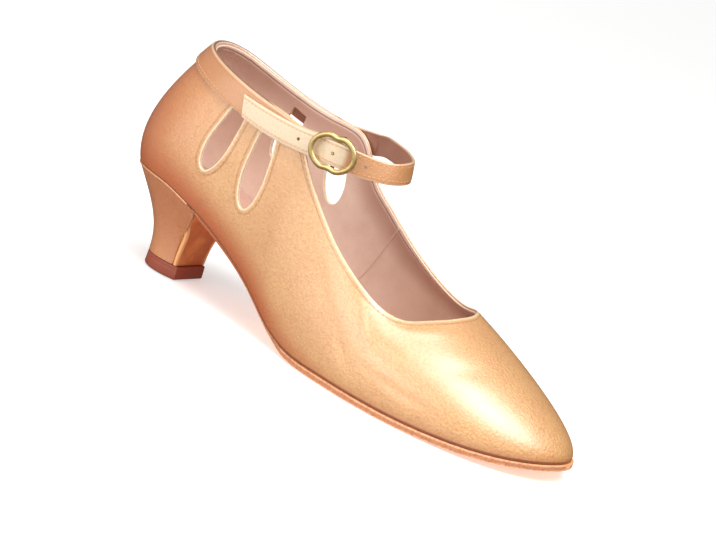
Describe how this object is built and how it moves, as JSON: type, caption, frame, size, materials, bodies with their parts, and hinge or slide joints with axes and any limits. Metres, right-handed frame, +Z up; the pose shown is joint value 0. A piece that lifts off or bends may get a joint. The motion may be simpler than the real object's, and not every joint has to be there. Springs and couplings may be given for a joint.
{
  "type": "ballroom dance shoe",
  "caption": "Right ballroom court shoe in gold-tan leather: low flared heel, suede sole, teardrop openings in the quarters and a buckled instep strap.",
  "frame": {"origin": "middle of the face that the heel stands on", "axes": "+X to the toe along the shoe, +Y to the inner (big toe) side, +Z up"},
  "size_m": [0.2397, 0.0804, 0.1043],
  "materials": {
    "upper": "gold-tan metallic leather with a fine pebble grain and a satin gloss",
    "insole": "matt mauve-brown napped lining leather",
    "outsole": "light orange suede under the foot, polished brown on the waist and the heel's front",
    "heel": "heel covered in the upper's gold-tan leather",
    "top_piece": "very dark red-brown, smooth",
    "strap": "gold-tan leather, folded edges, stitched both sides at its tip",
    "buckle": "polished light gilt"
  },
  "bodies": {
    "root": {"upper": "upper", "insole": "insole", "outsole": "outsole", "heel": "heel", "top_piece": "top_piece", "collar_strap": "strap", "buckle": "buckle"}
  },
  "joints": []
}
